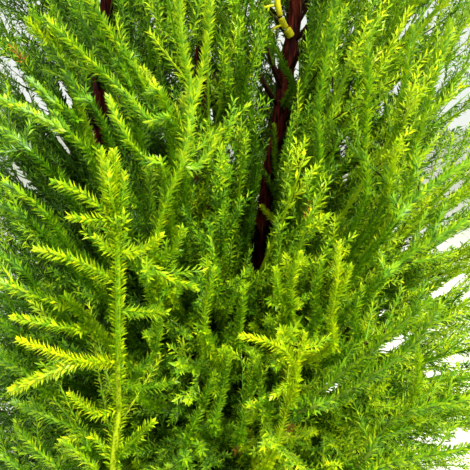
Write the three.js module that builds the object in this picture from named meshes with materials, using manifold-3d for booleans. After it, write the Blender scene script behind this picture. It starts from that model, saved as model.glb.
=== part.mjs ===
// A lemon cypress grown as a pot plant: three slender stems from one root in a plain clay pot, bare boughs low
// down, and a feathery crown in separate masses of foliage, cut round the stems that run up through them.
// Millimetres, +Z up. The origin is the centre of the pot's underside, and -Y is the front of the plant.
import * as THREE from "three";
import { mergeVertices } from "three/addons/utils/BufferGeometryUtils.js";
import Module from "manifold-3d";

const wasm = await Module();
wasm.setup();

// The pot, and the compost that fills it.
const potHeight = 150;
const footRadius = 62;
const shoulderRadius = 80;
const rimRadius = 84;
const rimHeight = 26;
const wall = 7;
const floorThickness = 9;
const edgeRound = 2;
const drainHoleRadius = 5;
const drainHoleCircle = 34;
const drainHoles = 4;
const soilDepthBelowRim = 14;
const soilTop = potHeight - soilDepthBelowRim;

// Clearances between solids that touch or pass through each other.
const seatGap = 0.3;
const stemClearance = 0.5;
const rimClearance = 1;
const massGap = 0.7;
const boughClearance = 0.45;

// The crown: its greatest reach to each side, how much shallower it is from front to back, and its rings of
// foliage masses. Each mass is a plume from a root near the stems to a tip on the crown's outline. Each ring is
// drawn in by its own share towards the front right, where the crown opens in front of the right stem.
const crownReach = 182;
const crownDepth = 0.92;
const openTurn = -50;
const openSpread = 38;
const rings = [
  { name: "skirt", count: 8, root: [0.24, 188], tip: [1.0, 192], half: [88, 52], turn: -72, drawnIn: 0 },
  { name: "belt", count: 7, root: [0.12, 226], tip: [1.0, 336], half: [96, 84], turn: -60, drawnIn: 0.18 },
  { name: "shoulder", count: 6, root: [0.06, 308], tip: [0.82, 470], half: [92, 82], turn: -56, drawnIn: 0.2 },
];

// The stems. Each is a smooth curve through a few points, from its foot on the compost to its top.
const flareRadius = 3.2;
const flareHeight = 12;
const stemTipRadius = 0.9;
const stems = [
  {
    name: "left",
    line: [[-17, -5, soilTop], [-44, -13, 220], [-70, -20, 326], [-64, -18, 402], [-50, -8, 566]],
    radius: 4.2,
    spires: 2,
    spread: 62,
  },
  {
    name: "middle",
    line: [[-3, 10, soilTop], [-17, 19, 240], [-21, 20, 333], [-18, 19, 400], [-7, 12, 640]],
    radius: 4.4,
    spires: 3,
    spread: 66,
  },
  {
    name: "right",
    line: [[6, -9, soilTop], [13, -2, 255], [25, 0, 346], [33, 0, 403], [46, 4, 604]],
    radius: 4.7,
    spires: 2,
    spread: 62,
  },
];
const spireFoot = 424;
const spireOverlap = 0.12;
const spireTipPast = 7;

// The boughs that show between the stems and the outer masses.
const boughRadius = 2.3;
const boughTipRadius = 1.6;
const boughRise = 34;
const boughReachInside = 12;
const elbowShare = 0.6;
const elbowRise = 0.35;

// How finely the faceted solids are cut.
const potSides = 32;
const drainHoleSides = 10;
const stemSides = 8;
const stemSteps = 12;
const boughSides = 5;
const boughSteps = 4;
const massAround = 12;
const massAlong = 9;

const materials = {
  clay: new THREE.MeshStandardMaterial({ color: 0xa9613f, roughness: 0.85, metalness: 0 }),
  compost: new THREE.MeshStandardMaterial({ color: 0x2e221a, roughness: 1, metalness: 0 }),
  bark: new THREE.MeshStandardMaterial({ color: 0x4a1f18, roughness: 0.8, metalness: 0 }),
  foliage: new THREE.MeshStandardMaterial({ color: 0x86b022, roughness: 0.6, metalness: 0 }),
};

// A seeded number from 0 to 1 for each whole-number key.
function scatter(key) {
  const value = Math.sin(key * 12.9898 + 4.137) * 43758.5453;
  return value - Math.floor(value);
}

const mix = (a, b, share) => a + (b - a) * share;

// A closed three.js geometry as a solid for cutting, and back again.
function toSolid(geometry) {
  const bare = geometry.index ? geometry.toNonIndexed() : geometry.clone();
  bare.deleteAttribute("normal");
  bare.deleteAttribute("uv");
  const merged = mergeVertices(bare, 1e-3);
  return new wasm.Manifold(
    new wasm.Mesh({
      numProp: 3,
      vertProperties: merged.attributes.position.array,
      triVerts: new Uint32Array(merged.index.array),
    }),
  );
}

function toGeometry(solid) {
  const { vertProperties, triVerts } = solid.getMesh();
  const geometry = new THREE.BufferGeometry();
  geometry.setAttribute("position", new THREE.BufferAttribute(vertProperties, 3));
  geometry.setIndex(new THREE.BufferAttribute(triVerts, 1));
  geometry.computeVertexNormals();
  return geometry;
}

// A cut can leave slivers behind: the plant keeps the largest body.
function largestBody(solid) {
  return solid.decompose().reduce((best, body) => (body.volume() > best.volume() ? body : best));
}

function named(name, geometry, material) {
  const mesh = new THREE.Mesh(geometry, material);
  mesh.name = name;
  return mesh;
}

// Turned shapes: a lathe profile given as [radius, height], turned so that its axis is +Z.
function turned(profile) {
  const points = profile.map(([radius, height]) => new THREE.Vector2(radius, height));
  return new THREE.LatheGeometry(points, potSides).rotateX(Math.PI / 2);
}

// The pot's inner wall leans with its outer wall, a wall's thickness inside it.
function innerRadius(height) {
  return mix(footRadius, shoulderRadius, height / potHeight) - wall;
}

function potMesh() {
  const rimFoot = potHeight - rimHeight;
  const body = turned([
    [0, 0],
    [footRadius - edgeRound, 0],
    [footRadius, edgeRound],
    [mix(footRadius, shoulderRadius, rimFoot / potHeight), rimFoot],
    [rimRadius - edgeRound, rimFoot],
    [rimRadius, rimFoot + edgeRound],
    [rimRadius + edgeRound, potHeight - edgeRound],
    [rimRadius, potHeight],
    [innerRadius(potHeight) + edgeRound, potHeight],
    [innerRadius(potHeight), potHeight - edgeRound],
    [innerRadius(floorThickness), floorThickness],
    [0, floorThickness],
  ]);
  let pot = toSolid(body);
  for (let i = 0; i < drainHoles; i += 1) {
    const angle = ((i + 0.5) / drainHoles) * Math.PI * 2;
    const length = floorThickness * 3;
    const hole = new THREE.CylinderGeometry(drainHoleRadius, drainHoleRadius, length, drainHoleSides);
    hole.rotateX(Math.PI / 2);
    hole.translate(Math.cos(angle) * drainHoleCircle, Math.sin(angle) * drainHoleCircle, 0);
    pot = pot.subtract(toSolid(hole));
  }
  return named("pot", toGeometry(pot), materials.clay);
}

function soilMesh() {
  const profile = [
    [0, floorThickness],
    [innerRadius(floorThickness) - seatGap, floorThickness],
    [innerRadius(soilTop) - seatGap, soilTop],
    [0, soilTop],
  ];
  return named("compost", turned(profile), materials.compost);
}

// A limb: a cylinder bent along a curve, with the given radius at each share of its length. A stem's foot is
// cut level where it stands on the compost.
function limbGeometry(pointAt, radiusAt, sides, steps, flatFoot) {
  const limb = new THREE.CylinderGeometry(1, 1, 1, sides, steps);
  const position = limb.attributes.position;
  const across = new THREE.Vector3();
  const over = new THREE.Vector3();
  for (let i = 0; i < position.count; i += 1) {
    const share = position.getY(i) + 0.5;
    const centre = pointAt(share);
    const along = pointAt(Math.min(share + 0.01, 1)).sub(pointAt(Math.max(share - 0.01, 0))).normalize();
    if (share === 0 && flatFoot) along.set(0, 0, 1);
    across.set(0, 1, 0).cross(along).normalize();
    over.copy(along).cross(across);
    const radius = radiusAt(share);
    centre.addScaledVector(across, position.getX(i) * radius);
    centre.addScaledVector(over, -position.getZ(i) * radius);
    position.setXYZ(i, centre.x, centre.y, centre.z);
  }
  return limb;
}

for (const stem of stems) {
  stem.curve = new THREE.CatmullRomCurve3(stem.line.map((point) => new THREE.Vector3(...point)));
  stem.top = stem.line.at(-1)[2];
}

// The point of a stem's centre line at a height, found by halving: a stem always rises.
function stemAt(stem, height) {
  let low = 0;
  let high = 1;
  for (let i = 0; i < 20; i += 1) {
    const middle = (low + high) / 2;
    if (stem.curve.getPoint(middle).z < height) low = middle;
    else high = middle;
  }
  return stem.curve.getPoint(low);
}

function stemGeometry(stem, extra) {
  const length = stem.top - soilTop;
  // Steps are closer together at the foot, where the root flare curves.
  const eased = (share) => share ** 1.6;
  const pointAt = (share) => stemAt(stem, soilTop + eased(share) * length);
  const radiusAt = (share) => {
    const flare = flareRadius * Math.exp((-eased(share) * length) / flareHeight);
    return mix(stem.radius, stemTipRadius, eased(share) ** 2) + flare + extra;
  };
  return limbGeometry(pointAt, radiusAt, stemSides, stemSteps, true);
}

// A point of the crown: reach is a share of the crown's reach, and turn an angle in degrees from +X.
function crownPoint(reach, turn, height) {
  const angle = THREE.MathUtils.degToRad(turn);
  const radius = reach * crownReach;
  return new THREE.Vector3(Math.cos(angle) * radius, Math.sin(angle) * radius * crownDepth, height);
}

// Plumes: where each mass of foliage starts and ends, and its half width and half thickness at the widest.
function ringPlumes(ring, ringIndex) {
  return Array.from({ length: ring.count }, (_, i) => {
    const key = ringIndex * 40 + i;
    const turn = ring.turn + (i * 360) / ring.count + (scatter(key) - 0.5) * 9;
    const open = ring.drawnIn * Math.exp(-(((turn - openTurn) / openSpread) ** 2));
    const reach = ring.tip[0] * mix(0.91, 1.0, scatter(key + 7)) * (1 - open);
    return {
      name: `foliage_${ring.name}_${i + 1}`,
      root: crownPoint(ring.root[0], turn, ring.root[1]),
      tip: crownPoint(reach, turn, ring.tip[1] + (scatter(key + 13) - 0.5) * 34),
      half: ring.half.map((half) => half * mix(0.9, 1.06, scatter(key + 19))),
      turn,
      ring: ring.name,
      key,
    };
  });
}

function spirePlumes(stem, stemIndex) {
  const length = (stem.top - spireFoot) / stem.spires;
  return Array.from({ length: stem.spires }, (_, i) => {
    const bottom = spireFoot + length * (i - spireOverlap);
    const top = spireFoot + length * (i + 1 + spireOverlap);
    const last = i === stem.spires - 1;
    const narrow = mix(1, 0.5, i / (stem.spires - 1)) * stem.spread;
    const root = stemAt(stem, bottom);
    const tip = stemAt(stem, last ? stem.top : top);
    if (last) tip.z += spireTipPast;
    return {
      name: `foliage_spire_${stem.name}_${i + 1}`,
      root,
      tip,
      half: [narrow, narrow * 0.94],
      ring: "spire",
      key: 200 + stemIndex * 10 + i,
    };
  });
}

const plumes = [...rings.flatMap(ringPlumes), ...stems.flatMap(spirePlumes)];

// A plume's own axes: along it, sideways and through its thickness.
for (const plume of plumes) {
  plume.centre = plume.root.clone().lerp(plume.tip, 0.5);
  plume.along = plume.tip.clone().sub(plume.root);
  plume.reach = plume.along.length() / 2;
  plume.along.normalize();
  plume.side = new THREE.Vector3(0, 0, 1).cross(plume.along);
  if (plume.side.length() < 0.2) plume.side.set(1, 0, 0);
  plume.side.normalize();
  plume.over = plume.side.clone().cross(plume.along);
}

// How far a plume's plain ellipsoid reaches from its centre towards a direction.
function extentTowards(plume, direction) {
  return Math.hypot(
    plume.along.dot(direction) * plume.reach,
    plume.side.dot(direction) * plume.half[0],
    plume.over.dot(direction) * plume.half[1],
  );
}

// The planes that part a plume from its neighbours: each lies between two centres, shared out by how far each
// plume reaches, and the plume stays half a gap behind it.
function partings(plume) {
  const planes = [];
  for (const other of plumes) {
    if (other === plume) continue;
    const normal = other.centre.clone().sub(plume.centre);
    const distance = normal.length();
    normal.normalize();
    const mine = extentTowards(plume, normal);
    const theirs = extentTowards(other, normal);
    if ((mine + theirs) * 1.25 < distance) continue;
    planes.push({ normal, offset: (distance * mine) / (mine + theirs) - massGap / 2 });
  }
  return planes;
}

// A mass of foliage: a sphere drawn out along its plume, fullest before its middle and drawn to a tip, with
// uneven lobes, and pressed flat where it meets its neighbours. It grows by extra on all sides.
function massGeometry(plume, extra) {
  const mass = new THREE.SphereGeometry(1, massAround, massAlong);
  const position = mass.attributes.position;
  const planes = partings(plume);
  const phase = scatter(plume.key + 31) * Math.PI * 2;
  const point = new THREE.Vector3();
  for (let i = 0; i < position.count; i += 1) {
    const along = position.getY(i);
    const angle = Math.atan2(position.getZ(i), position.getX(i));
    const round = Math.hypot(position.getX(i), position.getZ(i));
    const taper = mix(1.08, 0.74, (along + 1) / 2);
    const lobes = 1 + 0.1 * Math.sin(3 * angle + phase) + 0.09 * Math.sin(6 * along + 2 * angle + phase);
    const width = round * taper * lobes;
    point.set(0, 0, 0);
    point.addScaledVector(plume.along, along * plume.reach);
    point.addScaledVector(plume.side, Math.cos(angle) * width * plume.half[0]);
    point.addScaledVector(plume.over, Math.sin(angle) * width * plume.half[1]);
    let keep = 1;
    for (const { normal, offset } of planes) {
      const towards = point.dot(normal);
      if (towards > offset) keep = Math.min(keep, offset / towards);
    }
    point.multiplyScalar(keep + extra / point.length()).add(plume.centre);
    position.setXYZ(i, point.x, point.y, point.z);
  }
  return mass;
}

// The lowest masses lie over the pot's rim and hang past it, clear of it all round.
function overPot() {
  const radius = rimRadius + edgeRound + rimClearance;
  const height = potHeight + rimClearance;
  const column = new THREE.CylinderGeometry(radius, radius, height, potSides).rotateX(Math.PI / 2);
  return toSolid(column.translate(0, 0, height / 2));
}

const potHole = overPot();
const stemSolids = stems.map((stem) => toSolid(stemGeometry(stem, 0)));
const stemHoles = stems.map((stem) => toSolid(stemGeometry(stem, stemClearance)));

function massSolid(plume, extra) {
  const whole = toSolid(massGeometry(plume, extra));
  const cut = [potHole, ...stemHoles].reduce((solid, hole) => solid.subtract(hole), whole);
  return largestBody(cut);
}

// A bough runs from the nearest stem out to the root of its mass, rising more steeply as it goes.
function boughSolid(plume) {
  const height = plume.root.z - boughRise;
  const starts = stems.map((stem) => stemAt(stem, height));
  const away = (point) => point.distanceTo(plume.root);
  const start = starts.reduce((best, point) => (away(point) < away(best) ? point : best));
  const end = plume.root.clone().addScaledVector(plume.along, boughReachInside);
  const elbow = start.clone().lerp(end, elbowShare);
  elbow.z = mix(start.z, end.z, elbowRise);
  const line = new THREE.QuadraticBezierCurve3(start, elbow, end);
  const whole = toSolid(
    limbGeometry(
      (share) => line.getPoint(share),
      (share) => mix(boughRadius, boughTipRadius, share),
      boughSides,
      boughSteps,
      false,
    ),
  );
  const offStems = stemHoles.reduce((solid, hole) => solid.subtract(hole), whole);
  const masses = plumes.map((other) => toSolid(massGeometry(other, boughClearance)));
  const clear = masses.reduce((solid, mass) => solid.subtract(mass), offStems);
  return largestBody(clear);
}

const plant = new THREE.Group();
plant.name = "lemon_cypress";
plant.add(potMesh(), soilMesh());
stems.forEach((stem, i) => plant.add(named(`stem_${stem.name}`, toGeometry(stemSolids[i]), materials.bark)));
for (const plume of plumes) {
  plant.add(named(plume.name, toGeometry(massSolid(plume, 0)), materials.foliage));
  if (plume.ring === "skirt" || plume.ring === "belt") {
    const name = plume.name.replace("foliage", "bough");
    plant.add(named(name, toGeometry(boughSolid(plume)), materials.bark));
  }
}

export default plant;
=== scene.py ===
"""A lemon cypress in its clay pot, seen from close in front, in the middle of its crown.

The frame gives the pot, the compost, three stems, the short boughs and the masses of foliage. Here the
stems and boughs get their bark, the pot and compost their surfaces, and each mass is replaced by what
grows in it: boughs, sprays and shoots, which branch by one seeded rule, and the needles that they carry.
"""
import math
from collections import namedtuple

import bmesh
import bpy
import numpy as np
from mathutils import Matrix, Vector
from mathutils.bvhtree import BVHTree


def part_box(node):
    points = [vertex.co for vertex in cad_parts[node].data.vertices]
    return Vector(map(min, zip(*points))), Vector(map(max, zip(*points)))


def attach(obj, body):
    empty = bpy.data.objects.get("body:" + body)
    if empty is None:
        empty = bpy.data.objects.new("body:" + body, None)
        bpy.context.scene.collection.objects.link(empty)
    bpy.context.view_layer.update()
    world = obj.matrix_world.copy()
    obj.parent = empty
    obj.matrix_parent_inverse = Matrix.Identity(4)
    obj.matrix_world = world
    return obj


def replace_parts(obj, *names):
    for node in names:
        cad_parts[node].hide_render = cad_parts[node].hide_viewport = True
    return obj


MM = 0.001
UP = np.array([0.0, 0.0, 1.0])
rng = np.random.default_rng(58)

# The viewpoint of the photograph: a phone held a third of a metre from the stems, looking a little down.
FRAME_PX = 470
CAMERA_AT = np.array([0.0, -323.0, 344.0]) * MM
CAMERA_PITCH = math.radians(12)
LENS_MM = 43.7
SENSOR_MM = 36.0

# Boughs, those that reach the crown's outline, those that end inside, and those under the skirt: how far
# apart their tips stand, how far inside the outline they end, what is added to their tone as painted
# shade, and the heights they lie between, in mm.
BOUGH_LAYERS = [(33, 5, 0, 158, 478), (42, 40, 0.8, 158, 478), (34, 16, 0.5, 142, 225)]
# How many tips each mass of a spire gets, the points on a bough's line, how often a bough that closes a
# line of sight grows again, how far off its tip then lies, and by what it is drawn in.
SPIRE_TIPS = 14
BOUGH_POINTS = 14
BOUGH_TRIES = 10
REGROWN_OFF = 6 * MM
REGROWN_IN = np.array([0.99, 0.99, 1.0])
# The radius of the short boughs that the frame gives.
BOUGH_RADIUS = 2.1 * MM
# How far back from its tip a bough's bend lies, as a share of its reach, and how far it sways.
BEND_BACK = 0.52
SWAY = 0.02
# A bough leaves its stem this far below its tip, and further down the further out the tip is, and no
# lower than the lowest foot.
FOOT_DROP = 30 * MM
FOOT_SLOPE = 0.95
LOWEST_FOOT = 150 * MM
# The place that the crown's fan spreads from: its height on the pot's axis, the height of a place above
# which it rises, and by what share, and how much higher it is for places at the crown's left, and from
# how far left on.
FAN_FOOT = 160 * MM
FAN_RISES_FROM = 330 * MM
FAN_RISE = 0.72
FAN_LEFT_RISE = 22 * MM
LEFT_SIDE = 120 * MM

# Boughs added where the photograph is filled with foliage as far as its edge: pixel x, pixel y and the
# depth inside the outline in mm at which each ends. Then those behind the stems, with y in mm in place of
# the depth, and what is added to the tone of both.
FILLING_TIPS = [
    (4, 330, 10), (-8, 372, 14), (2, 404, 8), (-12, 436, 14), (4, 462, 10), (14, 500, 12), (34, 440, 24),
    (-6, 420, 26), (10, 480, 30), (-10, 470, 20), (12, 390, 26), (-10, 340, 34), (-14, 380, 40),
    (-16, 420, 40), (-12, 450, 44), (6, 360, 40), (0, 440, 50), (16, 470, 44), (-20, 400, 20), (20, 150, 34),
    (50, 120, 40), (0, 190, 30), (30, 230, 36), (70, 60, 36), (40, 30, 34), (8, 250, 30), (0, 290, 30),
    (90, 20, 40), (60, 180, 44), (466, 374, 14), (456, 394, 22), (476, 360, 24), (470, 404, 30),
    (470, 262, 20), (474, 84, 26), (452, 380, 8), (464, 396, 14), (474, 386, 10), (440, 392, 16),
    (0, 60, 24), (40, 4, 30), (470, 60, 20), (-8, 120, 16), (14, 128, 30), (30, 140, 40), (-4, 168, 30),
    (44, 150, 44), (26, 70, 30), (-4, 84, 30), (456, 10, 16), (470, 6, 14), (462, 34, 24), (478, 40, 16),
    (448, -6, 20), (472, 150, 22), (476, 196, 20), (470, 226, 26), (466, 300, 20), (474, 326, 18),
]
FILLING_BEHIND = [
    (244, 340, 70), (238, 352, 80), (242, 372, 60), (236, 366, 90), (236, 76, 90), (246, 104, 80),
    (232, 124, 90), (250, 60, 110), (240, 50, 70), (222, 100, 80),
]
FILLING_ADDED = 1.0

# The branching rule's numbers, for sprays on boughs, for shoots on sprays, for sprays on leaders, for
# those at the leaders' back, and for those deep inside on the stems: spacing along the parent, the
# stretch of it that branches, the angle off it at its foot and at its tip, the share of what is left of
# the parent that a side shoot reaches and what is added to it, its least and greatest length, how much of
# its heading it turns to the crown's fan by its tip, how much it may pass the crown's outline, the number
# of points on its line, and its radius at its foot and at its tip. Lengths are in mm.
SPRAYS = dict(
    spacing=9.5, stretch=(0.10, 0.97), angle=(44, 26), share=0.44, extra=16, least=15, most=80,
    turn=0.72, past=7, points=4, girth=(0.5, 0.2),
)
SHOOTS = dict(
    spacing=8.8, stretch=(0.05, 0.72), angle=(34, 24), share=0.55, extra=6, least=6, most=34,
    turn=0.6, past=9, points=3, girth=(0.3, 0.2),
)
LEADER_SPRAYS = dict(
    spacing=11, stretch=(0.12, 0.6), angle=(46, 36), share=0.12, extra=5, least=5, most=16,
    turn=0.3, past=14, points=5, girth=(0.45, 0.2),
)
BACK_SPRAYS = dict(
    LEADER_SPRAYS, spacing=2.8, stretch=(0.3, 0.97), share=0.25, extra=16, least=10, most=38, turn=0,
)
INNER = dict(
    spacing=3.6, stretch=(0.03, 0.80), angle=(60, 50), share=0.10, extra=18, least=20, most=46,
    turn=0.4, past=8, points=5, girth=(0.5, 0.2),
)
# Sprays at a leader's back are kept if they head away from the camera by this much, and don't hang lower
# than this.
BACK_HEADING = 0.3
BACK_HANGING = -0.15
# The points on the line of a leader and of its side shoots, and the turn from each side shoot to the
# next.
LEADER_POINTS = 30
SIDE_POINTS = 8
GOLDEN_TURN = math.radians(137.5)

# Needles, in whorls of three: their length, width and the step between whorls in mm, first where the
# photograph shows the crown's front layer, then in the rest of it, then on the leaders. The step is
# stretched so that the common shoots carry about the most needles, but no less than the least stretch.
NEAR_NEEDLE = np.array([3.2, 0.74, 1.3])
FAR_NEEDLE = np.array([4.8, 1.5, 2.7])
LEADER_NEEDLE = np.array([3.1, 1.2, 0.64])
WHORL = 3
MOST_NEEDLES = 425_000
LEAST_STRETCH = 0.75
# How far along a needle its shoulders are, and the length at a shoot's tip over which its needles close
# in.
SHOULDER_AT = 0.42
CLOSING = 3 * MM

# Tones run from 0 for the lightest needles to 6 for the darkest. A bough has the middle one, with some
# chance, less towards the crown's right as painted light and more towards its left as painted shade over a
# width, more again at its left as painted shade, and less in a band a little right of its middle as painted
# light, whose place and width are in mm.
MIDDLE_TONE = 3.0
BOUGH_CHANCE = 0.6
SIDE_LIGHT_AND_SHADE, SIDE_WIDTH = 1.1, 110 * MM
LEFT_SHADE = 0.35
BAND_LIGHT, BAND_AT, BAND_WIDTH = 0.9, 35, 45
# A side shoot has a share of its parent's tone, the rest from the middle one, with some chance, and is
# darker inside the crown, over a depth, partly for the greener old foliage there and partly as painted
# shade; and it is no lighter than a least tone.
INHERITED = 0.8
SHOOT_CHANCE = 0.5
INSIDE_TONE, INSIDE_DEPTH = 0.45, 45 * MM
LEAST_TONE = 1.3
# The tone of the stems as parents of the sprays deep inside.
STEM_TONE = 3.9
# A needle is lighter near its shoot's tip, over a length, and darker deep inside the crown, partly for
# the greener old foliage there and partly as painted shade, with some chance. How deep it is runs from
# one depth over another.
TIP_TONE, TIP_LENGTH = 0.7, 8 * MM
DEEP_TONE = 0.7
DEEP_FROM, DEEP_OVER = 18 * MM, 50 * MM
NEEDLE_CHANCE = 0.95

# The front layer: the side of a cell of the photograph in pixels, the number of cells beyond each of its
# edges, how many points of shoots lie in front in a cell before the layer ends, the depth over which it
# ends, and how far past the photograph's edges it ends and over how many pixels.
CELL_PX = 20
EDGE_CELLS = 2
LAYER_POINTS = 12
LAYER_EASE = 12 * MM
EDGE_PX = 10
EDGE_EASE_PX = 60

# The needles' colours, from the lemon of young tips to the deep green inside, as they look in the
# photograph.
NEEDLE_COLOURS = {
    "lemon": "d2de0a",
    "bright lime": "b9d208",
    "lime": "a4c208",
    "fresh green": "84ae08",
    "leaf green": "669808",
    "mid green": "4a7a08",
    "deep green": "345a08",
    "bronze": "a8742a",
}
BRONZE = 7
# The pixels at which a short shoot of the front layer is browned, and how short and how far in front it
# is.
BROWNED_AT = [(298, 437), (240, 455), (270, 222), (15, 55)]
BROWNED_LENGTH = 11 * MM
BROWNED_NEARNESS = 0.5


# The camera's sight of the plant.


def sight_axes():
    """The camera's right, up and forward directions: it looks along +Y, turned down by its pitch."""
    right = np.array([1.0, 0.0, 0.0])
    forward = np.array([0.0, math.cos(CAMERA_PITCH), -math.sin(CAMERA_PITCH)])
    return right, np.cross(right, forward), forward


RIGHT, ABOVE, FORWARD = sight_axes()
HALF_TAN = SENSOR_MM / 2 / LENS_MM


def seen_at(px, py, y_mm):
    """The point on the upright plane at that y that shows at a pixel: the pixel's ray from the camera,
    drawn out until it meets the plane."""
    half = FRAME_PX / 2
    ray = FORWARD + RIGHT * (px / half - 1) * HALF_TAN + ABOVE * (1 - py / half) * HALF_TAN
    return CAMERA_AT + ray * (y_mm * MM - CAMERA_AT[1]) / ray[1]


def on_crown(px, py, inside):
    """The point on a pixel's ray that is the given depth inside the crown's outline: the first such point
    from the camera, or the deepest one if the ray only grazes the crown."""
    ray = seen_at(px, py, np.linspace(-200, 60, 261)[:, None])
    depth = outline.depth(ray)
    deep = depth >= inside * MM
    return ray[np.argmax(deep) if deep.any() else np.argmax(depth)]


def pixels_of(points):
    """Where points show in the photograph's frame, and their depth: across and up over depth, scaled to
    pixels."""
    away = points - CAMERA_AT
    depth = away @ FORWARD
    half = FRAME_PX / 2
    px = half * (1 + away @ RIGHT / depth / HALF_TAN)
    py = half * (1 - away @ ABOVE / depth / HALF_TAN)
    return px, py, depth


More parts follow.
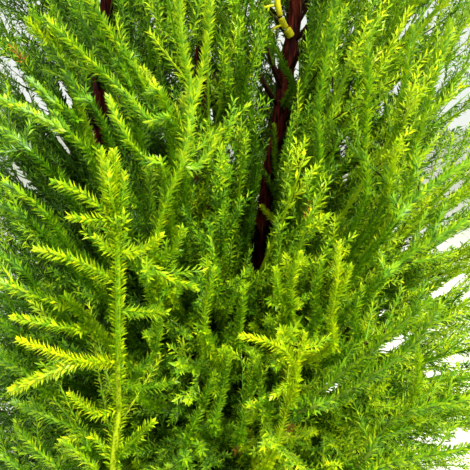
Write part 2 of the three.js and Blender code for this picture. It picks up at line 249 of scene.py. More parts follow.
# Leaders, shoots placed by the photograph, of which most stand out in front of the crown and a few stand
# deep in its hollow: the stem that each springs from and the height there in mm, its tone, and points
# given as pixel x, pixel y and depth inside the crown's outline in mm. Some have their own angle of
# needles, radii at foot and tip in mm, and twig finish up to a share of their length. Their own side
# shoots are given as a tone and points, of which the first is moved onto the leader's line.
Leader = namedtuple(
    "Leader",
    "stem foot tone seen lean girth finish finish_to sides",
    defaults=(42.0, (1.3, 0.45), -1, 1.1, ()),
)
LEADERS = [
    Leader("left", 150, 1.9, [(124, 500, 16), (119, 400, 4), (118, 300, 0), (117, 230, -3),
           (114, 152, -4)], lean=52, girth=(1.4, 0.6), finish=2, finish_to=0.74, sides=[
        (2.1, (116, 240), (107, 196, -4), (102, 152, -4)),
        (2.8, (118, 232), (122, 200, -3), (124, 174, -3)),
        (2.4, (116, 214), (110, 190, -6), (107, 166, -6)),
        (2.7, (113, 210), (82, 194, -6), (54, 182, -8)),
        (2.5, (115, 226), (94, 220, -5), (70, 217, -6)),
        (2.0, (117, 270), (78, 261, -4), (37, 249, -6)),
        (2.2, (117, 262), (106, 248, -4), (97, 238, -6)),
        (1.9, (119, 264), (142, 250, 0), (160, 236, -2)),
        (2.9, (118, 316), (142, 313, 1), (165, 312, -1)),
        (0.4, (118, 357), (78, 360, -3), (20, 340, -5)),
        (1.6, (118, 359), (72, 364, -3), (11, 390, -5)),
        (3.7, (120, 376), (146, 388, 0), (174, 381, -3)),
        (1.8, (119, 416), (98, 415, 0), (70, 394, -2)),
        (2.6, (121, 450), (140, 434, 0), (152, 422, -2)),
        (2.4, (120, 462), (91, 436, 4), (62, 440, 2)),
    ]),
    Leader("middle", 205, 2.3, [(157, 300, 34), (160, 222, 12), (186, 152, 2), (191, 92, 0), (183, 50, 0),
           (178, -16, 0)], sides=[
        (2.4, (191, 108), (201, 76, 0), (210, 20, 0), (208, -12, 0)),
        (3.0, (178, 176), (198, 166, 6), (221, 131, 4)),
    ]),
    Leader("left", 185, 2.8, [(172, 142, 22), (150, 95, 10), (117, 42, 4), (84, -8, 2)]),
    Leader("left", 180, 2.9, [(184, 160, 20), (154, 125, 10), (112, 81, 5), (78, 50, 3), (48, 20, 2)]),
    Leader("left", 170, 2.7, [(112, 188, 26), (94, 156, 10), (60, 128, 4), (-6, 96, 2)]),
    Leader("left", 175, 3.4, [(90, 156, 34), (76, 119, 14), (52, 101, 8), (30, 80, 5)]),
    Leader("left", 150, 3.3, [(82, 266, 26), (58, 228, 10), (34, 201, 4), (6, 184, 2)]),
    Leader("left", 180, 2.6, [(169, 204, 22), (150, 165, 10), (128, 140, 4), (108, 98, 2)]),
    Leader("left", 190, 1.9, [(66, 70, 18), (48, 42, 6), (28, 20, 2)]),
    Leader("left", 150, 2.4, [(88, 320, 20), (66, 305, 6), (38, 296, 2), (-6, 280, 1)]),
    Leader("left", 150, 2.0, [(104, 338, 20), (78, 331, 6), (48, 324, 2), (14, 317, 1)]),
    Leader("middle", 190, 2.2, [(158, 280, 24), (171, 256, 8), (183, 230, 3)]),
    Leader("middle", 180, 2.1, [(140, 268, 22), (168, 279, 6), (194, 287, 2)]),
    Leader("middle", 160, 2.3, [(209, 348, 20), (204, 318, 6), (214, 270, 2)]),
    Leader("middle", 150, 3.0, [(140, 398, 20), (155, 352, 6), (158, 322, 2)]),
    Leader("right", 150, 0.9, [(262, 470, 20), (290, 402, 4), (296, 368, -3), (280, 346, -5),
           (242, 336, -7)], girth=(1.0, 0.5), sides=[
        (1.2, (296, 370), (303, 352, -4), (305, 335, -5)),
        (1.7, (293, 384), (286, 386, -3), (273, 396, -5)),
    ]),
    Leader("right", 190, 1.1, [(322, 352, 24), (331, 316, 7), (338, 278, 1), (339, 244, 0)], sides=[
        (2.2, (335, 300), (344, 284, 1), (350, 268, 0)),
    ]),
    Leader("right", 160, 3.5, [(296, 408, 12), (340, 376, 0), (384, 340, -3), (430, 300, -4)], lean=54,
           girth=(1.6, 0.7), finish=1),
    Leader("right", 150, 3.5, [(292, 414, 8), (330, 402, -3), (372, 376, -6), (412, 346, -6),
           (440, 306, -6)], lean=54, girth=(1.5, 0.6), finish=1),
    Leader("right", 150, 3.3, [(340, 468, 12), (380, 432, 2), (408, 412, -2), (474, 398, -4)], lean=54,
           girth=(1.6, 0.7), finish=1),
    Leader("right", 150, 3.3, [(330, 480, 12), (390, 462, 2), (436, 454, -2), (480, 446, -4)], lean=54,
           girth=(1.6, 0.7), finish=1),
    Leader("right", 150, 1.9, [(392, 430, 14), (412, 400, 4), (419, 368, 0), (416, 342, -1)]),
    Leader("right", 170, 3.2, [(360, 300, 14), (400, 262, 4), (440, 236, 0), (480, 214, -2)]),
    Leader("right", 170, 3.1, [(372, 250, 14), (410, 205, 4), (440, 180, 0), (480, 156, -2)]),
    Leader("right", 180, 2.2, [(284, 322, 24), (279, 295, 7), (276, 270, 2)]),
    Leader("right", 180, 1.8, [(286, 322, 24), (290, 285, 7), (300, 254, 2)]),
    Leader("right", 190, 1.6, [(372, 250, 30), (388, 190, 10), (394, 162, 5), (398, 142, 2)]),
    Leader("right", 190, 2.8, [(352, 230, 30), (364, 150, 14), (368, 90, 6), (368, 36, 3)]),
    Leader("left", 190, 3.8, [(112, 150, 30), (84, 104, 14), (60, 60, 9), (32, 12, 8)]),
    Leader("left", 170, 4.0, [(76, 206, 30), (50, 170, 14), (30, 150, 9), (-4, 124, 8)]),
    Leader("left", 160, 4.0, [(66, 262, 30), (40, 232, 14), (20, 214, 9), (-8, 200, 8)]),
    Leader("left", 190, 3.6, [(136, 116, 26), (114, 66, 12), (100, 34, 8), (86, -8, 8)]),
    Leader("left", 150, 3.8, [(60, 316, 28), (34, 284, 12), (16, 264, 8), (-8, 250, 8)]),
    Leader("left", 150, 3.9, [(48, 372, 28), (24, 340, 12), (8, 326, 8), (-10, 318, 8)]),
    Leader("left", 150, 3.2, [(104, 452, 16), (88, 434, 4), (53, 418, 1), (14, 402, 0)]),
    Leader("left", 150, 3.3, [(84, 490, 14), (59, 468, 4), (36, 450, 2), (17, 427, 1)]),
    Leader("left", 150, 2.2, [(112, 490, 14), (98, 472, 3), (84, 458, 1), (66, 443, 0)]),
    Leader("left", 150, 3.3, [(70, 400, 18), (40, 384, 5), (16, 366, 3), (-8, 356, 2)]),
    Leader("left", 150, 3.4, [(50, 480, 14), (20, 466, 4), (4, 456, 3), (-10, 448, 2)]),
    Leader("middle", 150, 2.9, [(214, 430, 20), (222, 392, 8), (229, 352, 4)]),
    Leader("middle", 150, 3.0, [(192, 440, 20), (200, 410, 8), (214, 376, 4)]),
    Leader("right", 150, 3.0, [(240, 440, 20), (247, 400, 8), (252, 372, 4)]),
    Leader("middle", 160, 2.8, [(236, 350, 30), (240, 318, 12), (243, 292, 6)]),
    Leader("right", 190, 2.8, [(368, 230, 26), (390, 160, 14), (402, 110, 9), (412, 28, 8)]),
    Leader("right", 190, 2.6, [(388, 220, 26), (414, 150, 14), (430, 96, 9), (450, 22, 8)]),
    Leader("right", 200, 3.0, [(312, 190, 34), (316, 120, 18), (324, 70, 12), (337, -6, 10)]),
    Leader("right", 345, 3.0, [(293, 86, 92), (286, 70, 86), (272, 42, 78), (256, 12, 70)]),
    Leader("right", 230, 3.8, [(245, 270, 90), (250, 218, 78), (257, 168, 66), (252, 128, 58),
           (246, 92, 52), (243, 56, 48)]),
    Leader("right", 200, 2.9, [(286, 250, 96), (283, 200, 92), (290, 156, 88), (305, 118, 84)], sides=[
        (3.4, (283, 206), (276, 172, 90), (274, 126, 88)),
        (3.9, (284, 216), (274, 190, 92), (263, 170, 92)),
        (0.2, (285, 228), (274, 219, 82), (262, 207, 78)),
        (3.2, (286, 186), (298, 172, 88), (304, 160, 86)),
    ]),
    Leader("right", 180, 2.9, [(308, 334, 26), (314, 298, 9), (322, 264, 5)]),
    Leader("right", 180, 3.1, [(346, 352, 26), (352, 322, 9), (362, 288, 5)]),
    Leader("right", 160, 3.0, [(266, 416, 20), (260, 384, 6), (252, 354, 3)]),
]

# The pruned stub on the right stem, joint by joint, and its side bits: radius in mm, and the line as
# pixel x, pixel y and y in mm.
PRUNED_STUB = [
    (2.1, [(291, 37, -5), (289, 33, -6), (286.5, 29.5, -7)]),
    (1.75, [(286, 28.5, -7), (283, 23, -8), (281, 17.5, -9)]),
    (1.55, [(280.5, 16.5, -9), (278, 6, -10), (276, -16, -11)]),
    (0.6, [(276, 6, -9), (270, 6, -10), (264, 8, -11)]),
    (0.6, [(282, 25, -8), (277, 27, -10), (272, 30, -11)]),
]

# Lines of sight that stay open, each a stroke from pixel to pixel with its half width in pixels: first
# those to the stems, then those through the gaps in the crown.
STEM_SIGHTS = [
    (299, -20, 284, 112, 7),
    (284, 112, 267, 180, 5.5),
    (267, 180, 258, 264, 5),
    (107, -10, 104, 20, 6),
    (101, 96, 101, 148, 7),
    (200, 52, 199, 84, 4),
    (294, 42, 276, -16, 6),
]
GAP_SIGHTS = [
    (281, 34, 279, 56, 2.5), (302, 14, 306, 28, 2.5), (297, 62, 295, 78, 2), (277, 64, 276, 78, 1.5),
    (248, 4, 247, 16, 1.5), (353, 26, 351, 34, 1.5), (343, 36, 341, 50, 1.5), (264, 58, 265, 68, 1.5),
    (330, 80, 334, 94, 1.5), (355, 82, 352, 94, 1.5), (211, 110, 214, 122, 2), (229, 146, 234, 160, 2),
    (343, 140, 344, 154, 2.5), (364, 134, 362, 144, 2), (382, 102, 382, 112, 2),
    (382, 136, 382, 144, 1.5), (345, 174, 347, 184, 2), (400, 218, 392, 232, 3), (408, 238, 406, 250, 2),
    (426, 180, 427, 188, 2), (440, 160, 437, 174, 2), (464, 160, 454, 172, 3), (460, 182, 448, 194, 2.5),
    (460, 206, 444, 218, 2), (384, 308, 380, 320, 2), (336, 382, 324, 396, 3), (431, 372, 430, 380, 2),
    (456, 356, 452, 366, 2.5), (36, 92, 46, 112, 2.5), (61, 84, 71, 108, 2.5), (54, 132, 70, 154, 2),
    (2, 16, 9, 34, 1.5), (16, 166, 26, 186, 3), (424, 18, 433, 3, 2), (430, 33, 437, 12, 2.2),
    (444, 30, 449, 23, 1.5), (463, 48, 467, 28, 1.8), (396, 96, 399, 82, 1.5), (436, 88, 442, 70, 2.5),
    (444, 110, 470, 88, 2.5), (444, 247, 470, 233, 4.5), (432, 298, 462, 276, 3), (448, 452, 470, 436, 5),
    (399, 40, 412, 18, 2), (12, 60, 30, 102, 2.2), (452, 124, 470, 113, 3.5), (386, 350, 398, 338, 5),
]
# Dark pockets between the front shoots, as strokes of the same kind, and how deep into the crown they
# reach.
POCKETS = [
    (124, 346, 142, 356, 9), (147, 392, 149, 410, 5), (84, 246, 104, 262, 6), (128, 276, 140, 302, 6),
    (96, 202, 108, 207, 4), (240, 328, 252, 340, 6), (196, 204, 200, 228, 4), (218, 240, 228, 262, 5),
    (66, 386, 90, 392, 5), (204, 378, 206, 396, 5), (214, 322, 220, 328, 5), (238, 366, 239, 380, 4),
    (196, 44, 202, 74, 4), (168, 300, 172, 312, 4),
]
POCKET_DEPTH = 45 * MM
# How far off a stroke's edge, in pixels, boughs stay before a stem, boughs and shoots before a gap, and
# needles before both; less than 0 lets them stand over the edge by as much. Every third whorl of needles
# reaches into a gap by a share of its half width, and the others stay off it by a share.
STEM_EASE = -1
SHOOT_EASE = -0.5
NEEDLE_EASE = -0.2
REACHING_IN, STAYING_OFF = 0.9, -0.25
# What is nearer to the camera than this hides no gap, and what stands further back than this hides no
# stem.
TOO_NEAR = 20 * MM
BEHIND_STEMS = 2 * MM


# Meshes, lines and noise.


def mesh_piece(name, points, faces, materials, face_slots=None, smooth=False):
    """A mesh object from an array of points and an array of faces, all with the same number of
    corners."""
    mesh = bpy.data.meshes.new(name)
    mesh.vertices.add(len(points))
    mesh.vertices.foreach_set("co", np.ascontiguousarray(points, np.float32).ravel())
    mesh.loops.add(faces.size)
    mesh.loops.foreach_set("vertex_index", np.ascontiguousarray(faces, np.int32).ravel())
    mesh.polygons.add(len(faces))
    mesh.polygons.foreach_set("loop_start", np.arange(0, faces.size, faces.shape[1], dtype=np.int32))
    mesh.polygons.foreach_set("use_smooth", np.full(len(faces), smooth))
    for material in materials:
        mesh.materials.append(material)
    if face_slots is not None:
        mesh.polygons.foreach_set("material_index", np.ascontiguousarray(face_slots, np.int32))
    mesh.update(calc_edges=True)
    piece = bpy.data.objects.new(name, mesh)
    bpy.context.scene.collection.objects.link(piece)
    return piece


def corners_of(node):
    """A CAD node's corner points as an array."""
    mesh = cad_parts[node].data
    flat = np.zeros(len(mesh.vertices) * 3, np.float32)
    mesh.vertices.foreach_get("co", flat)
    return flat.reshape(-1, 3).astype(float)


def triangles_of(node):
    """A CAD node's triangles as an array of corner numbers."""
    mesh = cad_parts[node].data
    mesh.calc_loop_triangles()
    flat = np.zeros(len(mesh.loop_triangles) * 3, np.int32)
    mesh.loop_triangles.foreach_get("vertices", flat)
    return flat.reshape(-1, 3)


def unit(vectors):
    """Vectors over their lengths."""
    return vectors / np.maximum(np.linalg.norm(vectors, axis=-1, keepdims=True), 1e-9)


def spline_through(points, count):
    """Points along a curve through the given ones: between two of them it is the cubic whose slope at
    each is half the step between its neighbours."""
    given = np.asarray(points, float)
    slope = np.gradient(given, axis=0)
    place = np.linspace(0, len(given) - 1, count)
    i = np.minimum(place.astype(int), len(given) - 2)
    t = (place - i)[:, None]
    ahead = t * t * (3 - 2 * t)
    between = (1 - ahead) * given[i] + ahead * given[i + 1]
    return between + t * (1 - t) ** 2 * slope[i] - t * t * (1 - t) * slope[i + 1]


def evened(line, count):
    """A line's points set at even steps along it, straight between the given ones."""
    along = np.concatenate([[0], np.cumsum(np.linalg.norm(np.diff(line, axis=0), axis=1))])
    places = np.linspace(0, along[-1], count)
    return np.stack([np.interp(places, along, line[:, k]) for k in range(3)], axis=-1)


def noise_sheet(cells_along, cells_around, along, around):
    """Smooth random values from 0 to 1 on a grid that closes on itself round its second way: random
    numbers on a coarser grid, eased from each to the next both ways."""
    coarse = rng.random((cells_along + 1, cells_around))
    row = np.linspace(0, cells_along, along)[:, None]
    column = (np.arange(around) * cells_around / around)[None, :]
    r, c = np.minimum(row.astype(int), cells_along - 1), column.astype(int)
    ease_r, ease_c = row - r, column - c
    ease_r, ease_c = ease_r**2 * (3 - 2 * ease_r), ease_c**2 * (3 - 2 * ease_c)
    c_next = (c + 1) % cells_around
    near = coarse[r, c] * (1 - ease_c) + coarse[r, c_next] * ease_c
    far = coarse[r + 1, c] * (1 - ease_c) + coarse[r + 1, c_next] * ease_c
    return near * (1 - ease_r) + far * ease_r


def grid_faces(rings, sides, first=0):
    """The quads of a tube's grid of rings by sides, which closes on itself round its sides."""
    ring = np.arange(rings - 1)[:, None] * sides
    side = np.arange(sides)[None, :]
    after = (side + 1) % sides
    quads = np.stack([ring + side, ring + after, ring + sides + after, ring + sides + side], axis=-1)
    return quads.reshape(-1, 4) + first


def turns_of(sides):
    """The angles of even turns round a circle."""
    return np.arange(sides) / sides * 2 * math.pi


def ring_ways(line, sides):
    """Directions square to a line, at even turns round each of its points."""
    tangent = unit(np.gradient(line, axis=-2))
    other = np.where(np.abs(tangent[..., 1:2]) < 0.9, [0.0, 1.0, 0.0], [1.0, 0.0, 0.0])
    aside = unit(np.cross(tangent, other))
    over = np.cross(tangent, aside)
    across, up = np.cos(turns_of(sides))[:, None], np.sin(turns_of(sides))[:, None]
    return aside[..., None, :] * across + over[..., None, :] * up


# Materials.


def linear(code):
    """A colour code as linear red, green and blue: each share c is (c + 0.055) / 1.055 to the power
    2.4."""
    shares = [int(code[i : i + 2], 16) / 255 for i in (0, 2, 4)]
    return [c / 12.92 if c <= 0.04045 else ((c + 0.055) / 1.055) ** 2.4 for c in shares] + [1.0]


def finish_material(name, colour, roughness, specular=0.5):
    """A plain finish: one colour, roughness and reflection."""
    material = bpy.data.materials.new(name)
    material.use_nodes = True
    shader = material.node_tree.nodes["Principled BSDF"]
    shader.inputs["Base Color"].default_value = linear(colour)
    shader.inputs["Roughness"].default_value = roughness
    shader.inputs["Specular IOR Level"].default_value = specular
    return material


def patterned_material(name, stops, scale, stretch, detail, roughness, bump, bump_scale, specular=0.4):
    """A finish whose colour runs through the stops by a noise on the piece's own space, stretched along
    Z, with a finer noise for its bumps and its roughness."""
    material = bpy.data.materials.new(name)
    material.use_nodes = True
    nodes, links = material.node_tree.nodes, material.node_tree.links
    shader = nodes["Principled BSDF"]
    shader.inputs["Specular IOR Level"].default_value = specular
    place = nodes.new("ShaderNodeTexCoord")
    mapping = nodes.new("ShaderNodeMapping")
    mapping.inputs["Scale"].default_value = (1, 1, stretch)
    links.new(place.outputs["Object"], mapping.inputs["Vector"])
    noise = nodes.new("ShaderNodeTexNoise")
    noise.inputs["Scale"].default_value = scale
    noise.inputs["Detail"].default_value = detail
    noise.inputs["Roughness"].default_value = 0.62
    links.new(mapping.outputs["Vector"], noise.inputs["Vector"])
    ramp = nodes.new("ShaderNodeValToRGB")
    ramp.color_ramp.elements.remove(ramp.color_ramp.elements[1])
    for i, (position, colour) in enumerate(stops):
        element = ramp.color_ramp.elements[0] if i == 0 else ramp.color_ramp.elements.new(position)
        element.position = position
        element.color = linear(colour)
    links.new(noise.outputs["Fac"], ramp.inputs["Fac"])
    links.new(ramp.outputs["Color"], shader.inputs["Base Color"])
    grain = nodes.new("ShaderNodeTexNoise")
    grain.inputs["Scale"].default_value = bump_scale
    grain.inputs["Detail"].default_value = 3
    links.new(mapping.outputs["Vector"], grain.inputs["Vector"])
    wear = nodes.new("ShaderNodeMapRange")
    wear.inputs["To Min"].default_value, wear.inputs["To Max"].default_value = roughness
    links.new(grain.outputs["Fac"], wear.inputs["Value"])
    links.new(wear.outputs["Result"], shader.inputs["Roughness"])
    relief = nodes.new("ShaderNodeBump")
    relief.inputs["Strength"].default_value = bump
    relief.inputs["Distance"].default_value = 0.3 * MM
    links.new(grain.outputs["Fac"], relief.inputs["Height"])
    links.new(relief.outputs["Normal"], shader.inputs["Normal"])
    return material


# The camera, the light and the floor.


def set_stage():
    """The camera at the photograph's place and angle, a pale floor, an even pale world, and soft
    light."""
    data = bpy.data.cameras.new("camera")
    data.lens, data.sensor_width = LENS_MM, SENSOR_MM
    data.clip_start, data.clip_end = 0.01, 100
    camera = bpy.data.objects.new("camera", data)
    camera.location = Vector(CAMERA_AT)
    camera.rotation_euler = (math.pi / 2 - CAMERA_PITCH, 0, 0)
    bpy.context.scene.collection.objects.link(camera)
    bpy.context.scene.camera = camera

    world = bpy.data.worlds.new("pale room")
    world.use_nodes = True
    sky = world.node_tree.nodes["Background"]
    sky.inputs["Color"].default_value = (0.90, 0.94, 0.87, 1)
    sky.inputs["Strength"].default_value = 0.98
    bpy.context.scene.world = world
    bpy.context.scene.view_settings.view_transform = "Standard"

    floor_size = 12.0
    corners = np.array([[-1, -1, 0], [1, -1, 0], [1, 1, 0], [-1, 1, 0]], float) * floor_size
    pale = finish_material("pale floor", "dadace", 0.7)
    mesh_piece("floor", corners, np.array([[0, 1, 2, 3]]), [pale])

    for name, at, size, power, colour in [
        ("window light", (0.55, -0.85, 1.35), 0.25, 34.0, (1.0, 0.96, 0.86)),
        ("room light", (-0.95, -0.3, 1.05), 0.9, 9, (1.0, 0.99, 0.94)),
        ("back light", (1.05, 0.55, 0.85), 0.7, 16, (1.0, 0.98, 0.92)),
    ]:
        lamp = bpy.data.lights.new(name, "AREA")
        lamp.size, lamp.energy, lamp.color = size, power, colour
        light = bpy.data.objects.new(name, lamp)
        light.location = at
        light.rotation_mode = "QUATERNION"
        light.rotation_quaternion = (Vector((0, 0, 0.3)) - Vector(at)).to_track_quat("-Z", "Y")
        bpy.context.scene.collection.objects.link(light)


# Stems and boughs from the frame.


def stem_line(node, count=90):
    """A stem's centre line and radius, from the rings of its CAD solid: its corners in order of height
    are split where the height jumps, each ring gives its middle and radius, and a smooth curve runs
    through them."""
    ring_gap = 2.5 * MM
    points = corners_of(node)
    points = np.unique(points.round(6), axis=0)
    points = points[np.argsort(points[:, 2])]
    rings = np.split(points, np.flatnonzero(np.diff(points[:, 2]) > ring_gap) + 1)
    middles = np.array([ring.mean(axis=0) for ring in rings])
    radii = np.array([np.linalg.norm(ring - middle, axis=1).max() for ring, middle in zip(rings, middles)])
    through = spline_through(np.column_stack([middles, radii]), count)
    return through[:, :3], through[:, 3]


def bough_line(node, count=7):
    """A short bough's centre line and radius, from the inner end outwards: its corners are binned along
    its longest direction, and a smooth curve runs through the bins' middles. All have one radius."""
    points = corners_of(node)
    centre = points.mean(axis=0)
    longest = np.linalg.svd(points - centre, full_matrices=False)[2][0]
    if longest[:2] @ centre[:2] < 0:
        longest = -longest
    along = (points - centre) @ longest
    place = np.clip(((along - along.min()) / np.ptp(along) * count).astype(int), 0, count - 1)
    middles = np.array([points[place == i].mean(axis=0) for i in np.unique(place)])
    return spline_through(middles, count), BOUGH_RADIUS


def bark_tube(name, line, radius, sides, step, material, relief):
    """A limb's bark: rings round its line, whose radius is the limb's own with long ridges, flakes that
    stand off by a step, a slow swelling and small knots where side shoots were. Its two ends are drawn in
    to a point."""
    length = np.linalg.norm(np.diff(line, axis=0), axis=1).sum()
    rings = max(int(length / step), 12)
    share = np.linspace(0, 1, rings)
    own = np.linspace(0, 1, len(line))
    centre = np.stack([np.interp(share, own, line[:, k]) for k in range(3)], axis=-1)
    girth = np.interp(share, own, radius)[:, None]
    cells = max(int(length / MM), 24)
    ridges = 1 - np.abs(2 * noise_sheet(cells // 24, 9, rings, sides) - 1)
    fine = noise_sheet(cells // 4, 20, rings, sides)
    flakes = np.clip((noise_sheet(cells // 11, 8, rings, sides) - 0.52) * 12, 0, 1)
    swelling = noise_sheet(cells // 30, 3, rings, sides)
    knots = np.zeros((rings, sides))
    turn = np.arange(sides) / sides
    for _ in range(cells // 16):
        at, way, size = rng.random(), rng.random(), rng.uniform(1.6, 2.8) * MM
        round_it = np.abs((turn[None, :] - way + 0.5) % 1 - 0.5) * girth * 6.28
        apart = np.hypot((share[:, None] - at) * length, round_it)
        knots += np.exp(-((apart / size) ** 2))
    height = 0.34 * ridges + 0.14 * fine + 0.26 * flakes + 0.5 * swelling
    height = height + 0.55 * np.minimum(knots, 1) - 0.55
    surface = girth + relief * MM * height * np.clip(girth / (4 * MM), 0.25, 1)
    points = centre[:, None] + ring_ways(centre, sides) * surface[..., None]
    points[0] = line[0]
    points[-1] = line[-1]
    return mesh_piece(name, points.reshape(-1, 3), grid_faces(rings, sides), [material], smooth=True)


# The crown's outline.


class Outline:
    """How far the masses of foliage reach from the pot's axis, by height and direction: from each
    direction and height of a grid, a ray runs in towards the axis until it meets a mass."""

    # The grid's heights and number of directions, how far out its rays start, the window that closes
    # notches, and how much the depth falls with each step below the lowest height.
    heights = np.linspace(146, 652, 47) * MM
    turns = 48
    outside = 0.35
    window = (3, 2)
    fall = 4

    def __init__(self, masses):
        points, faces, first = [], [], 0
        for node in masses:
            points.append(corners_of(node))
            faces.append(triangles_of(node) + first)
            first += len(points[-1])
        tree = BVHTree.FromPolygons(np.vstack(points).tolist(), np.vstack(faces).tolist())
        self.reach = np.zeros((len(self.heights), self.turns))
        for row, height in enumerate(self.heights):
            for column in range(self.turns):
                angle = column / self.turns * 2 * math.pi
                way = Vector((math.cos(angle), math.sin(angle), 0))
                hit = tree.ray_cast(way * self.outside + Vector((0, 0, height)), -way, self.outside)
                if hit[0] is not None:
                    self.reach[row, column] = self.outside - hit[3]
        self.reach = self.closed(self.reach)

    def closed(self, reach):
        """The reach with its notches filled, narrower than a window of heights and turns: the greatest
        value in the window about each place, and then the least of those."""
        for pick, edge in ((np.max, 0), (np.min, self.outside)):
            tall = np.pad(reach, ((self.window[0],) * 2, (0, 0)), constant_values=edge)
            wide = np.pad(tall, ((0, 0), (self.window[1],) * 2), mode="wrap")
            shape = (2 * self.window[0] + 1, 2 * self.window[1] + 1)
            reach = pick(np.lib.stride_tricks.sliding_window_view(wide, shape), axis=(2, 3))
        return reach

    def depth(self, points):
        """How far inside the outline points are, and less than 0 outside, eased between the grid's
        values."""
        distance = np.hypot(points[..., 0], points[..., 1])
        row = np.interp(points[..., 2], self.heights, np.arange(len(self.heights)))
        column = np.arctan2(points[..., 1], points[..., 0]) / (2 * math.pi) % 1 * self.turns
        r, c = np.minimum(row.astype(int), len(self.heights) - 2), column.astype(int) % self.turns
        up, on = row - r, column - np.floor(column)
        after = (c + 1) % self.turns
        low = self.reach[r, c] * (1 - on) + self.reach[r, after] * on
        high = self.reach[r + 1, c] * (1 - on) + self.reach[r + 1, after] * on
        below = np.clip(points[..., 2] - self.heights[0], None, 0)
        return low * (1 - up) + high * up - distance + below * self.fall


def spread_out(spots, spacing=None, count=None):
    """Spots chosen one by one, each the one furthest from those already taken, until they are closer than
    the spacing or the count is reached."""
    chosen = [0]
    apart = np.linalg.norm(spots - spots[0], axis=1)
    while len(chosen) < (count or len(spots)):
        after = int(np.argmax(apart))
        if spacing and apart[after] < spacing:
            break
        chosen.append(after)
        apart = np.minimum(apart, np.linalg.norm(spots - spots[after], axis=1))
    return spots[chosen]


def tips_round(low, high, spacing, outline):
    """Tips spread evenly over the crown's outline between two heights: many random spots at random turns,
    at the outline's reach there, of which those at least the spacing apart are kept."""
    count, start, least = 5000, 50 * MM, 30 * MM
    turn = rng.uniform(-math.pi, math.pi, count)
    height = rng.uniform(low, high, count)
    spots = np.column_stack([np.cos(turn) * start, np.sin(turn) * start, height])
    reach = start + outline.depth(spots)
    spots[:, :2] *= np.maximum(reach, least)[:, None] / start
    return spread_out(spots, spacing=spacing)


def tips_on(node, count):
    """Tips spread over the faces of a mass: of many random points on them, each next tip is the one
    furthest from those already taken."""
    points, faces = corners_of(node), triangles_of(node)
    a, b, c = (points[faces[:, k]] for k in range(3))
    area = np.linalg.norm(np.cross(b - a, c - a), axis=1)
    tried = 600
    pick = rng.choice(len(faces), tried, p=area / area.sum())
    u, v = rng.random((2, tried, 1))
    fold = u + v > 1
    u, v = np.where(fold, 1 - u, u), np.where(fold, 1 - v, v)
    spots = a[pick] * (1 - u - v) + b[pick] * u + c[pick] * v
    return spread_out(spots[np.argsort(-spots[:, 2])], count=count)


# Growth.


class Batch:
    """Shoots of one order: each one's line, mass of foliage and tone, the share of it below its first
    needles, the angle its needles stand off it at, its radius at its foot and at its tip in mm, and its
    length."""

    def __init__(self, line, mass, tone, bare, spread, girth):
        self.line, self.mass, self.tone, self.bare, self.spread = line, mass, tone, bare, spread
        self.girth = np.broadcast_to(girth, (len(line), 2))
        self.length = np.linalg.norm(np.diff(line, axis=1), axis=2).sum(axis=1)

    def kept(self, keep):
        """The batch with only the shoots that are kept."""
        own = (self.line, self.mass, self.tone, self.bare, self.spread, self.girth)
        return Batch(*(values[keep] for values in own))

    def at(self, owner, share):
        """Point and direction at a share of each named shoot's length, straight between the points of its
        line."""
        steps = self.line.shape[1] - 1
        place = np.clip(share, 0, 1) * steps
        i = np.minimum(place.astype(int), steps - 1)
        start, end = self.line[owner, i], self.line[owner, i + 1]
        return start + (end - start) * (place - i)[:, None], unit(end - start)


def fan(points):
    """The way the crown grows at a place: out and up from a point low on the pot's axis, which is higher
    for places high in the crown and at its left."""
    origin = np.zeros_like(points)
    origin[..., 2] = FAN_FOOT + FAN_RISE * np.clip(points[..., 2] - FAN_RISES_FROM, 0, None)
    origin[..., 2] += FAN_LEFT_RISE * np.clip(-points[..., 0] / LEFT_SIDE, 0, 1)
    return unit(points - origin)


def turned_off(ahead, turn):
    """Directions square to the way ahead, turned round it by an angle."""
    aside = unit(np.cross(ahead, UP + [0.01, 0.02, 0]))
    over = np.cross(aside, ahead)
    return aside * np.cos(turn)[:, None] + over * np.sin(turn)[:, None]


def cell_of(px, py):
    """Column and row of the cell of the photograph that each pixel lies in, counted from beyond its
    edge."""
    return [np.floor(along / CELL_PX).astype(int) + EDGE_CELLS for along in (px, py)]


def front_layer(batches):
    """The depth at which the crown's front layer ends in each cell of the photograph: all points of the
    shoots are sorted by cell and depth, and the layer ends at the one that has the set number of points
    before it."""
    points = np.concatenate([batch.line.reshape(-1, 3) for batch in batches])
    px, py, depth = pixels_of(points)
    cells = FRAME_PX // CELL_PX + 2 * EDGE_CELLS
    column, row = cell_of(px, py)
    shown = (column >= 0) & (column < cells) & (row >= 0) & (row < cells) & (depth > 0)
    cell, depth = (row * cells + column)[shown], depth[shown]
    order = np.lexsort((depth, cell))
    cell, depth = cell[order], depth[order]
    ends = np.full(cells * cells, 1.0)
    first = np.searchsorted(cell, np.arange(cells * cells))
    last = np.searchsorted(cell, np.arange(cells * cells), side="right") - 1
    held = last >= first
    ends[held] = depth[np.minimum(first + LAYER_POINTS, last)[held]]
    return ends.reshape(cells, cells)


def nearness(points, ends):
    """How closely the photograph shows a place: 1 in the crown's front layer, easing to 0 behind it and
    beyond the photograph's edges."""
    px, py, depth = pixels_of(points)
    column, row = (np.clip(place, 0, len(ends) - 1) for place in cell_of(px, py))
    off_middle = np.maximum(np.abs(px - FRAME_PX / 2), np.abs(py - FRAME_PX / 2))
    outside = np.maximum(off_middle - FRAME_PX / 2 - EDGE_PX, 0)
    behind = (depth - ends[row, column]) / LAYER_EASE
    return np.clip(1 - outside / EDGE_EASE_PX, 0, 1) * np.clip(1 - behind, 0, 1) * (depth > 0)


